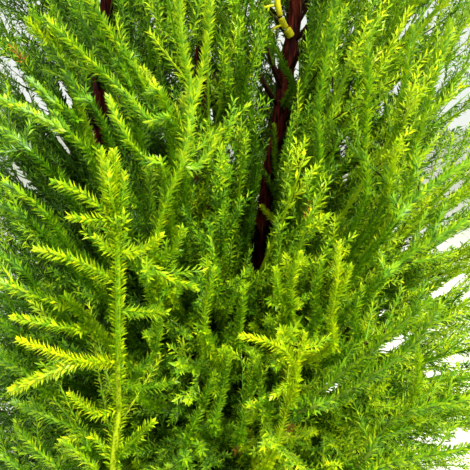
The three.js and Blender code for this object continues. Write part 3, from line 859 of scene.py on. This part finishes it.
def rising_line(foot, tip, count=BOUGH_POINTS):
    """A bough from its foot out to its tip, turning up as it goes: a curve pulled towards one point,
    which lies back from the tip against the direction of the crown's fan, with a slight sway."""
    reach = np.linalg.norm(tip - foot)
    bend = tip - fan(tip) * reach * BEND_BACK
    t = np.linspace(0, 1, count)[:, None]
    line = (1 - t) ** 2 * foot + 2 * t * (1 - t) * bend + t * t * tip
    sway = rng.normal(0, 1, 3) * reach * SWAY
    return line + sway * np.sin(t * math.pi * rng.uniform(1.4, 2.4))


def side_shoots(parents, rule, outline):
    """The branching rule: side shoots leave their parent at even steps, each turned on by the golden
    angle, leaning forward by an angle that closes towards the parent's tip, and reach a share of what is
    left of the parent. They bend towards the crown's fan as they grow, and stop near its outline."""
    first, last = rule["stretch"]
    count = np.maximum((parents.length * (last - first) / (rule["spacing"] * MM)).astype(int), 1)
    owner = np.repeat(np.arange(len(count)), count)
    rank = np.arange(count.sum()) - np.repeat(np.cumsum(count) - count, count)
    share = first + (last - first) * (rank + rng.uniform(0.2, 0.8, len(owner))) / count[owner]
    foot, ahead = parents.at(owner, share)
    turn = rank * GOLDEN_TURN + rng.uniform(0, 2 * math.pi, len(count))[owner]
    outward = turned_off(ahead, turn + rng.normal(0, 0.25, len(owner)))
    at_foot, at_tip = rule["angle"]
    lean = np.radians(at_foot + (at_tip - at_foot) * share + rng.normal(0, 5, len(owner)))
    heading = unit(ahead * np.cos(lean)[:, None] + outward * np.sin(lean)[:, None])
    left = parents.length[owner] * (1 - share)
    length = np.clip(rule["share"] * left + rule["extra"] * MM, rule["least"] * MM, rule["most"] * MM)
    length *= rng.uniform(0.7, 1.15, len(owner))
    for _ in range(3):
        end = foot + unit(heading + rule["turn"] * fan(foot)) * length[:, None]
        past = -outline.depth(end) - rule["past"] * MM
        length = np.maximum(length - np.maximum(past, 0), rule["least"] * MM * 0.5)
    reach = length[:, None, None]
    t = np.linspace(0, 1, rule["points"])[None, :, None]
    final = unit(heading * (1 - rule["turn"]) + fan(foot + heading * length[:, None]) * rule["turn"])
    line = foot[:, None] + reach * (heading[:, None] * (t - t * t / 2) + final[:, None] * t * t / 2)
    depth = outline.depth(line[:, -1])
    tone = INHERITED * parents.tone[owner] + (1 - INHERITED) * MIDDLE_TONE
    tone = tone + rng.normal(0, SHOOT_CHANCE, len(owner))
    # Darker inside the crown: partly the greener old foliage there, partly painted shade.
    darker = np.clip(depth / INSIDE_DEPTH, 0, 1.5) * INSIDE_TONE
    tone = np.clip(tone + darker, LEAST_TONE, BRONZE - 1)
    spread = parents.spread[owner] * 0.4 + 0.6 * rng.uniform(48, 62, len(owner))
    return Batch(line, parents.mass[owner], tone, np.full(len(owner), 0.04), spread, rule["girth"])


def stroke_gap(points, stroke):
    """How far points show from a stroke between two pixels, less its half width, in pixels."""
    x0, y0, x1, y1, half = stroke
    px, py, depth = pixels_of(points)
    way = np.array([x1 - x0, y1 - y0], float)
    t = np.clip(((px - x0) * way[0] + (py - y0) * way[1]) / (way @ way), 0, 1)
    return np.hypot(px - x0 - t * way[0], py - y0 - t * way[1]) - half, depth


def before_stems(points, ease):
    """True where a point hides a stem that the photograph shows: it is on a stroke to a stem, and not
    behind it."""
    hides = np.zeros(len(points), bool)
    for stroke in STEM_SIGHTS:
        gap, _ = stroke_gap(points, stroke)
        hides |= (gap <= ease) & (points[:, 1] <= BEHIND_STEMS)
    return hides


def open_to_sight(points, ease, reach=0.0):
    """True where a point leaves the open lines of sight free: it is off every stroke through a gap, or no
    further into it than reach times its half width, and further off it where reach is less than 0; it is
    off every stroke to a stem unless it is behind the stems, and off every dark pocket unless it is deep
    inside the crown."""
    free = np.ones(len(points), bool)
    for stroke in GAP_SIGHTS:
        gap, depth = stroke_gap(points, stroke)
        free &= (gap > ease - reach * stroke[4]) | (depth < TOO_NEAR)
    free &= ~before_stems(points, ease)
    deep = outline.depth(points) > POCKET_DEPTH
    for stroke in POCKETS:
        gap, _ = stroke_gap(points, stroke)
        free &= (gap > ease) | deep
    return free


def needle_plan(shoots, ends, leader=False):
    """For each shoot of a batch, its needles' length and width and the step between their whorls, between
    those of the front layer and those of the rest, and how deep inside the crown it is from 0 to 1."""
    middle = shoots.line[:, shoots.line.shape[1] // 2]
    deep = np.clip((outline.depth(middle) - DEEP_FROM) / DEEP_OVER, 0, 1)
    close = nearness(middle, ends)[:, None]
    size = FAR_NEEDLE + (NEAR_NEEDLE - FAR_NEEDLE) * close
    size[:, 2] *= 1 + 0.5 * deep * (1 - close[:, 0])
    if leader:
        size[:] = LEADER_NEEDLE
    return size * MM, deep


def needle_mesh(shoots, plan, stretch, keep_sights=True):
    """Needles on a batch of shoots, in whorls that turn by half a step from each to the next. A needle
    leaves its shoot at an angle that closes towards the tip, and is a kite of two faces folded along its
    middle: its foot, its two shoulders two fifths of the way along, set back from the fold, and its
    point. It is lighter near the shoot's tip and darker deep inside the crown, partly for the greener old
    foliage there and partly as painted shade, with some chance. Returns their four points each, and the
    tone and mass of each needle."""
    size, deep = plan
    step = size[:, 2] * stretch
    count = np.maximum((shoots.length * (1 - shoots.bare) / step).astype(int), 2)
    owner = np.repeat(np.arange(len(count)), count * WHORL)
    rank = np.arange(len(owner)) - np.repeat(np.cumsum(count * WHORL) - count * WHORL, count * WHORL)
    whorl = rank // WHORL
    share = shoots.bare[owner] + (1 - shoots.bare[owner]) * (whorl + 0.3) / count[owner]
    share += rng.normal(0, 0.22, len(owner)) * step[owner] / shoots.length[owner]
    foot, ahead = shoots.at(owner, share)
    turn = (rank % WHORL + 0.5 * (whorl % 2)) * (2 * math.pi / WHORL)
    turn += rng.uniform(0, 2 * math.pi, len(count))[owner] + rng.normal(0, 0.2, len(owner))
    outward = turned_off(ahead, turn)
    left = shoots.length[owner] * (1 - share)
    closing = np.exp(-left / CLOSING)
    lean = np.radians(shoots.spread[owner] * (1 - 0.5 * closing) + rng.normal(0, 5, len(owner)))
    heading = ahead * np.cos(lean)[:, None] + outward * np.sin(lean)[:, None]
    length = size[owner, 0] * (1 - 0.25 * closing) * rng.uniform(0.8, 1.12, len(owner))
    width = size[owner, 1][:, None] / 2
    flat = unit(np.cross(ahead, outward))
    back = np.cross(heading, flat)
    girth = shoots.girth[owner, 0] + (shoots.girth[owner, 1] - shoots.girth[owner, 0]) * share
    foot = foot + outward * (0.8 * girth * MM)[:, None]
    point = foot + heading * length[:, None]
    shoulder = foot + heading * (SHOULDER_AT * length)[:, None]
    under = shoulder + back * width * 0.5
    corners = np.stack([foot, under + flat * width, point, under - flat * width], axis=1)
    reach = np.where(whorl % 3 == 0, REACHING_IN, STAYING_OFF)
    free = open_to_sight(point, NEEDLE_EASE, reach) & open_to_sight(shoulder, NEEDLE_EASE, 0.4 * reach)
    free |= not keep_sights
    # Lighter near the tip; darker deep inside the crown, partly for greener old foliage and partly as
    # painted shade.
    tone = shoots.tone[owner] - TIP_TONE * np.exp(-left / TIP_LENGTH) + DEEP_TONE * deep[owner]
    tone = tone + rng.normal(0, NEEDLE_CHANCE, len(owner))
    tone = np.where(shoots.tone[owner] == BRONZE, BRONZE, np.clip(tone, 0, BRONZE - 1))
    return corners[free], tone[free], shoots.mass[owner][free]


def twig_mesh(shoots, sides):
    """Thin twigs along a batch of shoots: rings of a few sides round each line, narrowing from foot to
    tip, with both ends drawn in to a point. Returns their points, their triangles, and each triangle's
    shoot and its place along it."""
    count, steps = shoots.line.shape[:2]
    at_foot, at_tip = shoots.girth[:, :1], shoots.girth[:, 1:]
    radius = (at_foot + (at_tip - at_foot) * np.linspace(0, 1, steps)) * MM
    scale = np.clip(shoots.length / np.median(shoots.length), 0.75, 1.2)[:, None]
    rings = shoots.line[:, :, None] + ring_ways(shoots.line, sides) * (radius * scale)[:, :, None, None]
    inner = rings[:, 1:-1].reshape(count, -1, 3)
    points = np.concatenate([shoots.line[:, :1], inner, shoots.line[:, -1:]], axis=1)
    around_foot = np.arange(sides)
    after = (around_foot + 1) % sides
    last = 1 + (steps - 3) * sides
    tube = grid_faces(steps - 2, sides, 1)
    one = np.concatenate([
        np.column_stack([np.zeros(sides, int), 1 + after, 1 + around_foot]),
        tube[:, [0, 1, 2]], tube[:, [0, 2, 3]],
        np.column_stack([last + around_foot, last + after, np.full(sides, points.shape[1] - 1)]),
    ])
    place = (np.clip(one - 1, 0, None) // sides).mean(axis=1) / max(steps - 2, 1)
    faces = (one[None] + (np.arange(count) * points.shape[1])[:, None, None]).reshape(-1, 3)
    return points.reshape(-1, 3), faces, np.repeat(np.arange(count), len(one)), np.tile(place, count)


# The pot and the compost.


def lathe_piece(name, profile, sides, materials, height_noise=None):
    """A turned piece: its profile of radius and height in mm, carried round the axis on a grid."""
    radius, height = np.array(profile).T * MM
    angle = turns_of(sides)
    ring = np.stack([np.cos(angle), np.sin(angle), np.zeros(sides)], axis=-1)
    points = radius[:, None, None] * ring + height[:, None, None] * UP
    if height_noise is not None:
        points[..., 2] += height_noise
    return mesh_piece(name, points.reshape(-1, 3), grid_faces(len(radius), sides), materials, smooth=True)


def merged(piece):
    """A turned piece with the points that meet at its poles made one."""
    mesh = bmesh.new()
    mesh.from_mesh(piece.data)
    bmesh.ops.remove_doubles(mesh, verts=mesh.verts, dist=0.001 * MM)
    mesh.to_mesh(piece.data)
    mesh.free()
    return piece


def drilled(piece, radius, circle, count, depth):
    """A piece with round holes through its foot along Z, at even turns on a circle, all in mm: upright
    cylinders are cut out of its mesh, and edges sharper than 50 degrees stay sharp."""
    drills = []
    for number in range(count):
        turn = (number + 0.5) / count * 2 * math.pi
        drill = merged(lathe_piece("drill", [(0, -5), (radius, -5), (radius, depth), (0, depth)], 32, []))
        drill.data.transform(Matrix.Translation(Vector((math.cos(turn), math.sin(turn), 0)) * circle * MM))
        cut = piece.modifiers.new("drain hole", "BOOLEAN")
        cut.operation = "DIFFERENCE"
        cut.solver = "EXACT"
        cut.object = drill
        drills.append(drill)
    made = bpy.data.meshes.new_from_object(piece.evaluated_get(bpy.context.evaluated_depsgraph_get()))
    piece.modifiers.clear()
    piece.data = made
    piece.data.set_sharp_from_angle(angle=math.radians(50))
    for drill in drills:
        bpy.data.objects.remove(drill)
    return piece


def arc(cx, cy, r, start, end, count=6):
    """Points on a round corner, from one angle to another in degrees."""
    angles = np.radians(np.linspace(start, end, count))
    return [(cx + r * math.cos(a), cy + r * math.sin(a)) for a in angles]


# The frame is loaded and the scene is made.
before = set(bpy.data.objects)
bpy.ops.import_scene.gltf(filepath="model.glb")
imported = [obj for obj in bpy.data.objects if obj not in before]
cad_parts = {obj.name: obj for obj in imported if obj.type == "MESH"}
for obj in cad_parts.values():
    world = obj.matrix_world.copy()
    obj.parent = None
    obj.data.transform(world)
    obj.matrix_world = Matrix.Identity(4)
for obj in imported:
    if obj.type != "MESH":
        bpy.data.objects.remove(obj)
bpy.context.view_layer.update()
set_stage()

NODES = sorted(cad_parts)
MASSES = [n for n in NODES if n.startswith("foliage_")]
RINGS = {n: n.split("_")[1] for n in MASSES}
outline = Outline(MASSES)

bark = patterned_material(
    "red-brown bark",
    [(0.36, "160504"), (0.47, "42100c"), (0.54, "8a3022"), (0.60, "380e0b"), (0.68, "c67850")],
    scale=620, stretch=0.11, detail=5, roughness=(0.5, 0.85), bump=0.9, bump_scale=900, specular=0.15,
)
stems = {}
for node in NODES:
    if node.startswith("stem_"):
        line, radius = stem_line(node)
        stems[node[5:]] = line
        piece = bark_tube(f"bark_{node}", line, radius, 40, 1.5 * MM, bark, 1.15)
        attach(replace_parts(piece, node), "root")

boughs = {}
for node in NODES:
    if node.startswith("bough_"):
        line, girth = bough_line(node)
        boughs[node.replace("bough", "foliage")] = line
        piece = bark_tube(f"bark_{node}", line, np.full(len(line), girth), 20, 1.0 * MM, bark, 0.8)
        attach(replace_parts(piece, node), "root")


def stem_point(name, height):
    """The point of a stem's line at a height."""
    line = stems[name]
    return np.array([np.interp(height, line[:, 2], line[:, k]) for k in range(3)])


def foot_for(node, tip):
    """Where a bough to a tip springs from: the outer half of its mass's own short bough, or else the
    nearest stem, lower than the tip by more the further out the tip is."""
    if node in boughs:
        line = boughs[node]
        return line[rng.integers(len(line) // 2, len(line))]
    best = None
    for name, line in stems.items():
        top = line[-1, 2] - 25 * MM
        away = np.hypot(*(tip - stem_point(name, tip[2] - 60 * MM))[:2])
        foot = stem_point(name, np.clip(tip[2] - FOOT_DROP - FOOT_SLOPE * away, LOWEST_FOOT, top))
        if best is None or np.linalg.norm(tip - foot) < np.linalg.norm(tip - best):
            best = foot
    return best


centres = np.array([sum(np.array(c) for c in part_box(n)) / 2 for n in MASSES])


def nearest_mass(points):
    """The number of the mass of foliage whose middle is nearest to each point."""
    return np.argmin(np.linalg.norm(centres - np.asarray(points)[..., None, :], axis=-1), axis=-1)


def closes_sight(lines):
    """True for each bough that closes a line of sight to a stem or through a gap, at one of sixty places
    along it beyond its foot."""
    place = np.linspace(1.5, BOUGH_POINTS - 1.001, 60)
    before = place.astype(int)
    points = lines[:, before] + (lines[:, before + 1] - lines[:, before]) * (place - before)[:, None]
    points = points.reshape(-1, 3)
    closing = before_stems(points, STEM_EASE)
    for stroke in GAP_SIGHTS:
        gap, depth = stroke_gap(points, stroke)
        closing |= (gap <= SHOOT_EASE) & (depth > TOO_NEAR)
    return closing.reshape(len(lines), -1).any(axis=1)


lines, owners, added = [], [], []


def grow_bough(mass, tip):
    """Adds the bough of a mass from where it springs out to its tip."""
    owners.append(mass)
    lines.append(rising_line(foot_for(MASSES[mass], tip), tip))


def further_in(tip, deep):
    """A tip moved in towards the pot's axis by so many mm."""
    return tip - unit(np.array([tip[0], tip[1], 0])) * deep * MM


# Boughs, to tips all over the crown's outline, and each stem's own leading shoot at its top. One that
# closes a line of sight grows again to a tip close by, and is left out if it still does.
for spacing, deep, darker, low, high in BOUGH_LAYERS:
    for tip in tips_round(low * MM, high * MM, spacing * MM, outline):
        tip = further_in(tip, deep)
        grow_bough(nearest_mass(tip), tip)
        added.append(darker)
for tip in [on_crown(*seen) for seen in FILLING_TIPS] + [seen_at(*seen) for seen in FILLING_BEHIND]:
    grow_bough(nearest_mass(tip), tip)
    added.append(FILLING_ADDED)
for mass, node in enumerate(MASSES):
    if RINGS[node] == "spire":
        for tip in tips_on(node, SPIRE_TIPS):
            grow_bough(mass, further_in(tip, BOUGH_LAYERS[0][1]))
for name, line in stems.items():
    top = [stem_point(name, line[-1, 2] - down * MM) for down in (110, 55, 8)]
    lines.append(spline_through(top + [line[-1] + UP * 6 * MM], BOUGH_POINTS))
    owners.append(MASSES.index(sorted(n for n in MASSES if name in n)[-1]))
lines = np.array(lines)
crossing = closes_sight(lines)
for _ in range(BOUGH_TRIES):
    if crossing.any():
        for i in np.flatnonzero(crossing):
            tip = (lines[i, -1] + rng.normal(0, 1, 3) * REGROWN_OFF) * REGROWN_IN
            lines[i] = rising_line(lines[i, 0], tip)
        crossing[crossing] = closes_sight(lines[crossing])
count = len(lines)
to_right = lines[:, -1, 0]
# A bough is lighter towards the crown's right and in a band right of its middle, as painted light, and
# darker towards its left, as painted shade.
tone = MIDDLE_TONE + rng.normal(0, BOUGH_CHANCE, count) - SIDE_LIGHT_AND_SHADE * np.clip(to_right / SIDE_WIDTH, -1, 1)
tone += LEFT_SHADE * np.clip(-to_right / SIDE_WIDTH, 0, 1)
tone -= BAND_LIGHT * np.exp(-((to_right / MM - BAND_AT) / BAND_WIDTH) ** 2)
# Each bough gets the tone its layer adds: painted shade for those that end inside and those under the skirt.
tone[: len(added)] += added
spread = rng.uniform(48, 58, count)
boughs_grown = Batch(lines, np.array(owners), tone, np.full(count, 0.16), spread, (1.3, 0.3)).kept(~crossing)

# Leaders and their side shoots. A leader belongs to the mass nearest to a place a quarter back from its
# tip.
lines, side_lines, side_owners, side_tones = [], [], [], []
for number, leader in enumerate(LEADERS):
    through = [stem_point(leader.stem, leader.foot * MM)] + [on_crown(*seen) for seen in leader.seen]
    line = evened(spline_through(through, 4 * LEADER_POINTS), LEADER_POINTS)
    lines.append(line)
    across, down, _ = pixels_of(line)
    for tone, (px, py), *rest in leader.sides:
        foot = line[np.argmin(np.hypot(across - px, down - py))]
        side_line = spline_through([foot] + [on_crown(*seen) for seen in rest], 4 * SIDE_POINTS)
        side_lines.append(evened(side_line, SIDE_POINTS))
        side_owners.append(number)
        side_tones.append(tone)
lines, side_lines, side_owners = np.array(lines), np.array(side_lines), np.array(side_owners)
tones = np.array([leader.tone for leader in LEADERS])
leans = np.array([leader.lean for leader in LEADERS])
girths = np.array([leader.girth for leader in LEADERS])
leaders = Batch(lines, nearest_mass(lines[:, -8]), tones, np.full(len(lines), 0.14), leans, girths)
side_mass = leaders.mass[side_owners]
side_bare = np.full(len(side_owners), 0.03)
side_leans = leaders.spread[side_owners]
sides = Batch(side_lines, side_mass, np.array(side_tones), side_bare, side_leans, (0.6, 0.3))

# Sprays and shoots, and the sprays deep inside that spring from the stems themselves.
stem_lines = []
for name, line in stems.items():
    heights = np.linspace(LOWEST_FOOT, line[-1, 2] - 60 * MM, 8)
    stem_lines.append(spline_through([stem_point(name, height) for height in heights], 24))
stem_lines = np.array(stem_lines)
stem_tones = np.full(3, STEM_TONE)
trunks = Batch(stem_lines, np.zeros(3, int), stem_tones, np.zeros(3), np.full(3, 42.0), (3, 3))
sprays = side_shoots(boughs_grown, SPRAYS, outline)
extra = side_shoots(leaders, LEADER_SPRAYS, outline)
backs = side_shoots(leaders, BACK_SPRAYS, outline)
way = (backs.line[:, -1] - backs.line[:, 0]) / backs.length[:, None]
backs = backs.kept((way @ FORWARD > BACK_HEADING) & (way[:, 2] > BACK_HANGING))
inner = side_shoots(trunks, INNER, outline)
inner.mass = nearest_mass(inner.line[:, -1])


def clear_of_sights(batch):
    """A batch without the shoots that would close a line of sight at one of eight places beyond their
    foot."""
    count = len(batch.line)
    points, _ = batch.at(np.repeat(np.arange(count), 8), np.tile(np.linspace(0.15, 1, 8), count))
    return batch.kept(open_to_sight(points, SHOOT_EASE).reshape(count, 8).all(axis=1))


sprays, extra, backs, inner = (clear_of_sights(batch) for batch in (sprays, extra, backs, inner))
shoots = clear_of_sights(side_shoots(sprays, SHOOTS, outline))
inner_shoots = clear_of_sights(side_shoots(inner, SHOOTS, outline))

# Needles, in one piece for each part of the crown. The step between whorls is stretched so that their
# number stays within its limit.
common = [boughs_grown, sprays, shoots, inner, inner_shoots]
ends = front_layer(common + [leaders, sides])
needle_materials = [
    finish_material(f"needle {name}", code, 0.38, 0.24) for name, code in NEEDLE_COLOURS.items()
]
plans = [needle_plan(batch, ends) for batch in common]
px, py, _ = pixels_of(shoots.line[:, -1])
hidden = (nearness(shoots.line[:, 1], ends) < BROWNED_NEARNESS) | (shoots.length > BROWNED_LENGTH)
for x, y in BROWNED_AT:
    shoots.tone[np.argmin(np.hypot(px - x, py - y) + 1e4 * hidden)] = BRONZE
wanted = 0
for batch, (size, _) in zip(common, plans):
    wanted += (batch.length * (1 - batch.bare) / size[:, 2]).sum() * WHORL
stretch = max(wanted / MOST_NEEDLES, LEAST_STRETCH)
parts = [needle_mesh(batch, plan, stretch) for batch, plan in zip(common, plans)]
parts += [needle_mesh(batch, needle_plan(batch, ends), 1) for batch in (extra, backs)]
for batch in (leaders, sides):
    parts.append(needle_mesh(batch, needle_plan(batch, ends, leader=True), 1, keep_sights=False))
corners, tone, mass = (np.concatenate([part[k] for part in parts]) for k in range(3))
slots = np.round(tone).astype(int)

regions = {}
for index, node in enumerate(MASSES):
    x, y, _ = centres[index]
    if RINGS[node] == "spire":
        part = "_".join(node.split("_")[1:3])
    else:
        part = f"{RINGS[node]}_{'front' if y < 0 else 'back'}_{'left' if x < 0 else 'right'}"
    regions.setdefault(part, []).append(index)
for part, members in regions.items():
    mine = np.isin(mass, members)
    points = corners[mine]
    count = len(points)
    first = np.arange(count)[:, None] * 4
    faces = np.concatenate([first + [0, 1, 2], first + [0, 2, 3]])
    own_slots = np.tile(slots[mine], 2)
    piece = mesh_piece(f"needles_{part}", points.reshape(-1, 3), faces, needle_materials, own_slots)
    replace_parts(piece, *[MASSES[i] for i in members])
    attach(piece, "root")

# Twigs: brown wood at the foot, then olive, then as green as their needles.
twig_materials = [
    finish_material("brown twig", "3c1c12", 0.7, 0.2),
    finish_material("olive twig", "546c0c", 0.6, 0.2),
    finish_material("golden twig", "b2c416", 0.55, 0.2),
] + needle_materials[:BRONZE]
for name, batch, edges, wood, olive in [
    ("boughs", boughs_grown, 5, 0.15, 0.4),
    ("leaders", leaders, 6, 0.1, 0.3),
    ("leader_sides", sides, 5, 0, 0),
    ("leader_sprays", extra, 3, 0, 0),
    ("leader_backs", backs, 3, 0, 0),
    ("sprays", sprays, 3, 0, 0),
    ("shoots", shoots, 3, 0, 0),
    ("inner_sprays", inner, 3, 0.3, 0.8),
    ("inner_shoots", inner_shoots, 3, 0, 0),
]:
    points, faces, owner, place = twig_mesh(batch, edges)
    place = place + rng.uniform(-0.06, 0.06, len(place))
    green = 3 + np.clip(np.round(batch.tone[owner] + 0.8), 0, BRONZE - 1).astype(int)
    slots = np.where(place < wood, 0, np.where(place < olive, 1, green))
    if name == "leaders":
        finish = np.array([leader.finish for leader in LEADERS])[owner]
        finish_to = np.array([leader.finish_to for leader in LEADERS])[owner]
        slots = np.where((finish >= 0) & (place < finish_to), finish, slots)
    piece = mesh_piece(f"twigs_{name}", points, faces, twig_materials, slots, smooth=True)
    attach(piece, "root")

# The stub of a shoot that was cut off the right stem, with two short side bits.
# The stub's colour is its own pale yellow-green, raised further as painted light, since foliage shades it.
stub_bark = finish_material("pale stub", "f6ee18", 0.5, 0.3)
for number, (radius, seen) in enumerate(PRUNED_STUB):
    line = spline_through([seen_at(px, py, y) for px, py, y in seen], 12)
    radii = np.full(12, radius * MM)
    piece = bark_tube(f"pruned_stub_{number + 1}", line, radii, 12, 0.8 * MM, stub_bark, 0.5)
    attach(piece, "root")

# The pot.
clay = patterned_material(
    "unglazed clay",
    [(0.3, "74402a"), (0.5, "8f5336"), (0.68, "9f6346"), (0.8, "b28768")],
    scale=38, stretch=0.6, detail=6, roughness=(0.75, 0.95), bump=0.35, bump_scale=420, specular=0.25,
)
pot_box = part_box("pot")
_, soil_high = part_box("compost")
pot_height = (pot_box[1][2] - pot_box[0][2]) / MM
rim_out = pot_box[1][0] / MM
soil_top = soil_high[2] / MM
soil_radius = soil_high[0] / MM
# The pot's sizes in mm: the radii of its foot and of its shoulder, its wall, its floor and its rim, and
# the radius of its drain holes, the radius of the circle that they lie on, and their number.
FOOT_RADIUS, SHOULDER_RADIUS, WALL, FLOOR, RIM_HEIGHT = 62, 80, 7, 9, 26
DRAIN_RADIUS, DRAIN_CIRCLE, DRAIN_HOLES = 5, 34, 4


def wall_radius(height):
    """The pot's outer radius below its rim: it widens evenly from foot to top."""
    return FOOT_RADIUS + (SHOULDER_RADIUS - FOOT_RADIUS) * height / pot_height


rim_foot = pot_height - RIM_HEIGHT
profile = [(0, 0), (FOOT_RADIUS - 20, 0)] + arc(FOOT_RADIUS - 2.5, 2.5, 2.5, -90, 0)
profile += [(wall_radius(h), h) for h in np.linspace(6, rim_foot - 3, 16)]
profile += arc(wall_radius(rim_foot) + 2, rim_foot - 2, 2, 180, 90, 4)
profile += arc(rim_out - 5, rim_foot + 3, 3, -90, 0)
profile += [(rim_out - 1.6, rim_foot + 10), (rim_out - 0.8, pot_height - 8)]
profile += arc(rim_out - 3.5, pot_height - 3.5, 3.5, 0, 90)
profile += arc(SHOULDER_RADIUS - WALL + 3, pot_height - 3, 3, 90, 180)
profile += [(wall_radius(h) - WALL, h) for h in np.linspace(pot_height - 8, FLOOR + 4, 12)]
profile += [(wall_radius(FLOOR) - WALL - 4, FLOOR), (0, FLOOR)]
pot = merged(lathe_piece("pot_clay", profile, 128, [clay]))
pot = drilled(pot, DRAIN_RADIUS, DRAIN_CIRCLE, DRAIN_HOLES, FLOOR + 5)
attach(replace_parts(pot, "pot"), "root")

# The compost: a turned body whose top is rough.
earth = patterned_material(
    "potting compost",
    [(0.3, "0f0a07"), (0.5, "2a1d14"), (0.64, "3c2a1c"), (0.78, "5a4026")],
    scale=520, stretch=1, detail=6, roughness=(0.85, 1.0), bump=0.9, bump_scale=1300, specular=0.2,
)
rows, sides_round = 44, 160
body = [(0, FLOOR + 0.2), (soil_radius - 15, FLOOR + 0.2), (soil_radius, soil_top - 3)]
top = [(soil_radius * (1 - k / rows), soil_top) for k in range(rows)] + [(0, soil_top)]
rough = np.zeros((len(body) + len(top), sides_round))
coarse = noise_sheet(14, 40, len(top), sides_round)
fine = noise_sheet(30, 80, len(top), sides_round)
rough[len(body) :] = (coarse * 2.6 + fine * 1.6 - 2.4) * MM
rough[-1] = rough[-1].mean()
compost = merged(lathe_piece("compost_body", body + top, sides_round, [earth], rough))
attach(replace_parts(compost, "compost"), "root")
